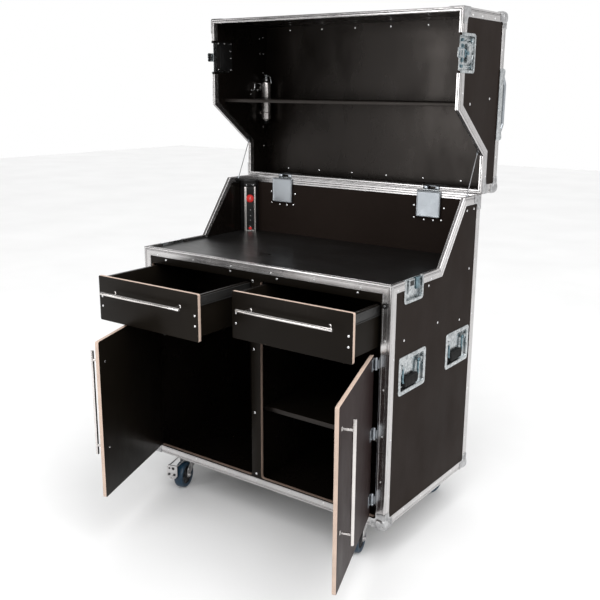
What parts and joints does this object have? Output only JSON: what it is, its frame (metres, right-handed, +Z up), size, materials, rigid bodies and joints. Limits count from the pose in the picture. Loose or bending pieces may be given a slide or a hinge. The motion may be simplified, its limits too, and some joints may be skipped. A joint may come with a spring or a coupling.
{
  "type": "coffee bar flight case",
  "caption": "Wheeled flight case that opens into a serving counter: fold-back lid with a shelf, drawers over door compartments, side handles, latches and swivel castors.",
  "frame": {"origin": "on the ground, under the middle of the whole case as it stands open", "axes": "+X to the case's right as its user faces the drawers, +Y from the drawers to the back, +Z up"},
  "size_m": [1.1708, 1.2021, 1.743],
  "materials": {
    "ply": "black laminated birch ply, smooth satin",
    "counter": "black laminate, satin",
    "edge": "ribbed extrusion, satin",
    "zinc": "bright zinc plate",
    "nickel": "nickel plate",
    "bar": "brushed bar",
    "column": "anodised",
    "switch": "gloss red",
    "wheel": "blue elastic tyre",
    "runner": "zinc plated",
    "cable": "stranded wire"
  },
  "bodies": {
    "case": {"side_panel_left": "ply", "side_panel_right": "ply", "back_panel": "ply", "bottom_panel": "ply", "front_frame": "ply", "centre_divider": "ply", "shelf_right": "ply", "worktop": "counter", "base_edge_frame": "edge", "hinge_left_base": "nickel", "handle_dish_left_front": "zinc", "handle_dish_left_rear": "zinc", "latch_keeper_left": "zinc", "drawer_runners_left": "runner", "door_hinges_left": "nickel", "stay_cable_left": "cable", "hinge_right_base": "nickel", "handle_dish_right_front": "zinc", "handle_dish_right_rear": "zinc", "latch_keeper_right": "zinc", "drawer_runners_right": "runner", "door_hinges_right": "nickel", "stay_cable_right": "cable", "power_column": "column"},
    "lid": {"lid_side_left": "ply", "lid_latch_dish_left": "zinc", "lid_bow_handle_left": "zinc", "lid_side_right": "ply", "lid_latch_dish_right": "zinc", "lid_bow_handle_right": "zinc", "lid_top_panel": "ply", "lid_front_panel": "ply", "lid_rear_panel": "ply", "lid_shelf": "ply", "lid_edge_frame": "edge"},
    "drawer_left": {"drawer_front_left": "ply", "drawer_box_left": "ply", "drawer_handle_left": "bar"},
    "drawer_right": {"drawer_front_right": "ply", "drawer_box_right": "ply", "drawer_handle_right": "bar"},
    "door_leaf_left": {"door_left": "ply", "door_handle_left": "bar"},
    "door_leaf_right": {"door_right": "ply", "door_handle_right": "bar"},
    "castor_front_left": {"castor_fork_front_left": "zinc"},
    "wheel_front_left": {"castor_wheel_front_left": "wheel"},
    "castor_front_right": {"castor_fork_front_right": "zinc"},
    "wheel_front_right": {"castor_wheel_front_right": "wheel"},
    "castor_rear_left": {"castor_fork_rear_left": "zinc"},
    "wheel_rear_left": {"castor_wheel_rear_left": "wheel"},
    "castor_rear_right": {"castor_fork_rear_right": "zinc"},
    "wheel_rear_right": {"castor_wheel_rear_right": "wheel"},
    "bail_left_front": {"handle_bail_left_front": "zinc"},
    "bail_left_rear": {"handle_bail_left_rear": "zinc"},
    "bail_right_front": {"handle_bail_right_front": "zinc"},
    "bail_right_rear": {"handle_bail_right_rear": "zinc"},
    "wing_left": {"latch_wing_left": "zinc"},
    "wing_right": {"latch_wing_right": "zinc"},
    "switch": {"power_switch": "switch"}
  },
  "joints": [
    {"name": "lid_hinge", "type": "hinge", "parent": "case", "child": "lid", "pos_m": [-0.06538, 0.43755, 1.143], "axis": [1, 0, 0], "range_deg": [0, 90], "deforming": ["stay_cable_left", "stay_cable_right"]},
    {"name": "drawer_left_slide", "type": "slide", "parent": "case", "child": "drawer_left", "axis": [0, 1, 0], "range_m": [-0.145, 0.255]},
    {"name": "drawer_right_slide", "type": "slide", "parent": "case", "child": "drawer_right", "axis": [0, 1, 0], "range_m": [-0.251, 0.149]},
    {"name": "door_left_hinge", "type": "hinge", "parent": "case", "child": "door_leaf_left", "pos_m": [-0.54168, -0.16795, 0.4375], "axis": [0, 0, 1], "range_deg": [-40.6, 69.4]},
    {"name": "door_right_hinge", "type": "hinge", "parent": "case", "child": "door_leaf_right", "pos_m": [0.41092, -0.16795, 0.4375], "axis": [0, 0, 1], "range_deg": [-110, 0]},
    {"name": "castor_front_left_swivel", "type": "hinge", "parent": "case", "child": "castor_front_left", "pos_m": [-0.46438, -0.08745, 0.12], "axis": [0, 0, 1], "continuous": true},
    {"name": "castor_front_left_roll", "type": "hinge", "parent": "castor_front_left", "child": "wheel_front_left", "pos_m": [-0.4528, -0.12782, 0.04985], "axis": [0.9613, 0.2756, 0], "continuous": true},
    {"name": "castor_front_right_swivel", "type": "hinge", "parent": "case", "child": "castor_front_right", "pos_m": [0.32562, -0.08745, 0.12], "axis": [0, 0, 1], "continuous": true},
    {"name": "castor_front_right_roll", "type": "hinge", "parent": "castor_front_right", "child": "wheel_front_right", "pos_m": [0.33578, -0.1282, 0.04985], "axis": [0.9703, 0.2419, 0], "continuous": true},
    {"name": "castor_rear_left_swivel", "type": "hinge", "parent": "case", "child": "castor_rear_left", "pos_m": [-0.46438, 0.36255, 0.12], "axis": [0, 0, 1], "continuous": true},
    {"name": "castor_rear_left_roll", "type": "hinge", "parent": "castor_rear_left", "child": "wheel_rear_left", "pos_m": [-0.44466, 0.39963, 0.04985], "axis": [-0.8829, 0.4695, 0], "continuous": true},
    {"name": "castor_rear_right_swivel", "type": "hinge", "parent": "case", "child": "castor_rear_right", "pos_m": [0.32562, 0.36255, 0.12], "axis": [0, 0, 1], "continuous": true},
    {"name": "castor_rear_right_roll", "type": "hinge", "parent": "castor_rear_right", "child": "wheel_rear_right", "pos_m": [0.33435, 0.40363, 0.04985], "axis": [-0.9781, 0.2079, 0], "continuous": true},
    {"name": "bail_left_front_swing", "type": "hinge", "parent": "case", "child": "bail_left_front", "pos_m": [-0.57818, -0.01345, 0.65], "axis": [0, 1, 0], "range_deg": [0, 90], "stiffness_Nm_per_rad": 0.06, "springref_deg": -5.73},
    {"name": "bail_left_rear_swing", "type": "hinge", "parent": "case", "child": "bail_left_rear", "pos_m": [-0.57818, 0.30955, 0.65], "axis": [0, 1, 0], "range_deg": [0, 90], "stiffness_Nm_per_rad": 0.06, "springref_deg": -5.73},
    {"name": "bail_right_front_swing", "type": "hinge", "parent": "case", "child": "bail_right_front", "pos_m": [0.44742, -0.01345, 0.65], "axis": [0, -1, 0], "range_deg": [0, 90], "stiffness_Nm_per_rad": 0.06, "springref_deg": -5.73},
    {"name": "bail_right_rear_swing", "type": "hinge", "parent": "case", "child": "bail_right_rear", "pos_m": [0.44742, 0.30955, 0.65], "axis": [0, -1, 0], "range_deg": [0, 90], "stiffness_Nm_per_rad": 0.06, "springref_deg": -5.73},
    {"name": "latch_left_turn", "type": "hinge", "parent": "lid", "child": "wing_left", "pos_m": [-0.58538, 0.27735, 1.604], "axis": [1, 0, 0], "range_deg": [0, 180]},
    {"name": "latch_right_turn", "type": "hinge", "parent": "lid", "child": "wing_right", "pos_m": [0.45462, 0.27735, 1.604], "axis": [1, 0, 0], "range_deg": [0, 180]},
    {"name": "power_switch_press", "type": "slide", "parent": "case", "child": "switch", "axis": [-0.7071, 0.7071, 0], "range_m": [0, 0.0015], "stiffness_N_per_m": 300, "springref_m": -0.002}
  ]
}
